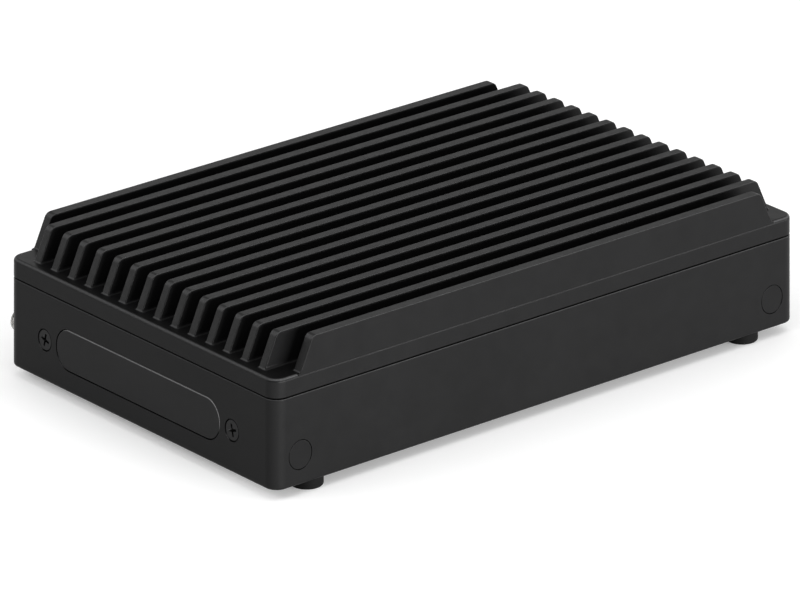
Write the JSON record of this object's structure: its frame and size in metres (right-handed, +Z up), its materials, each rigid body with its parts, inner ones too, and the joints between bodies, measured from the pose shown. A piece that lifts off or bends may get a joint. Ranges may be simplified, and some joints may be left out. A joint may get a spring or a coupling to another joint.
{
  "type": "fanless industrial pc",
  "caption": "Low rectangular fanless computer: a finned black heatsink lid on a shallow cast housing with rubber feet, a long end insert and a socket side with antenna jacks.",
  "frame": {"origin": "bottom centre of the object's box, antenna jacks included: Z = 0 is the underside of the rubber feet, X = 0 is the middle of the length, and the body itself is centred at Y = -3.5 mm", "axes": "+X along the long sides, away from the end with the long insert; +Y towards the socket side; +Z up, towards the fins"},
  "size_m": [0.193, 0.127, 0.0428],
  "materials": {
    "casting_black": "matte black powder coat with fine grain",
    "insert_black": "fine matte black moulding",
    "screw_black": "black passivated steel",
    "screw_steel": "zinc plated",
    "plug_black": "fine matte black moulding",
    "foot_rubber": "matte black rubber",
    "gasket_black": "soft black closed-cell gasket",
    "jack_nickel": "nickel plated, threaded barrel",
    "contact_gold": "thin gold plate",
    "nickel_plate": "nickel plated",
    "insulator_white": "white fluoropolymer",
    "port_shell_steel": "tin plated sheet",
    "socket_black": "black glass-filled moulding",
    "button_black": "satin black moulding",
    "light_clear": "clear light guide",
    "board_green": "green solder mask",
    "carrier_green": "green laminate",
    "chip_black": "black moulded package",
    "silicon_die": "bare polished silicon",
    "thermal_pad": "soft grey pad",
    "copper_plate": "machined copper",
    "brass_standoff": "machined brass",
    "inductor_grey": "pressed iron powder",
    "capacitor_can": "drawn can",
    "cell_steel": "stamped stainless can",
    "header_pins": "gold plated pins in a black strip",
    "lead_black": "black coaxial lead"
  },
  "bodies": {
    "chassis": {"antenna_hole_plugs": "plug_black", "antenna_jack_contacts": "contact_gold", "antenna_jack_insulators": "insulator_white", "antenna_jacks": "jack_nickel", "antenna_lead_plugs": "contact_gold", "antenna_leads": "lead_black", "antenna_lock_washers": "nickel_plate", "antenna_nuts": "nickel_plate", "board_chips": "chip_black", "board_screws": "screw_steel", "board_standoffs": "brass_standoff", "capacitors": "capacitor_can", "card_screws": "screw_steel", "card_standoffs": "brass_standoff", "coin_cell": "cell_steel", "coin_cell_holder": "socket_black", "copper_spreader": "copper_plate", "drive_chips": "chip_black", "drive_module": "board_green", "drive_socket": "socket_black", "end_insert": "insert_black", "end_insert_screws": "screw_black", "heatsink_lid": "casting_black", "inductors": "inductor_grey", "lid_gasket": "gasket_black", "lid_screws": "screw_black", "lower_housing": "casting_black", "mainboard": "board_green", "memory_chips": "chip_black", "memory_module": "board_green", "memory_socket": "socket_black", "network_jack_contacts": "contact_gold", "network_jack_inserts": "socket_black", "network_jack_lights": "light_clear", "network_jack_shells": "port_shell_steel", "pin_headers": "header_pins", "power_jack_body": "socket_black", "power_jack_pin": "contact_gold", "power_jack_spring_contact": "nickel_plate", "power_switch_body": "socket_black", "processor_carrier": "carrier_green", "processor_die": "silicon_die", "processor_thermal_pad": "thermal_pad", "rubber_feet": "foot_rubber", "spreader_screws": "screw_steel", "status_led_holder": "socket_black", "status_leds": "light_clear", "status_light_pipes": "light_clear", "usb_port_contacts": "contact_gold", "usb_port_frames": "socket_black", "usb_port_shells": "port_shell_steel", "video_port_contacts": "contact_gold", "video_port_shells": "port_shell_steel", "video_port_tongues": "socket_black", "wireless_card": "board_green", "wireless_card_shield": "port_shell_steel", "wireless_socket": "socket_black"},
    "button": {"power_button": "button_black", "power_switch_stem": "button_black"}
  },
  "joints": [
    {"name": "power_press", "type": "slide", "parent": "chassis", "child": "button", "axis": [0, -1, 0], "range_m": [0, 0.001], "stiffness_N_per_m": 800, "springref_m": -0.001}
  ]
}
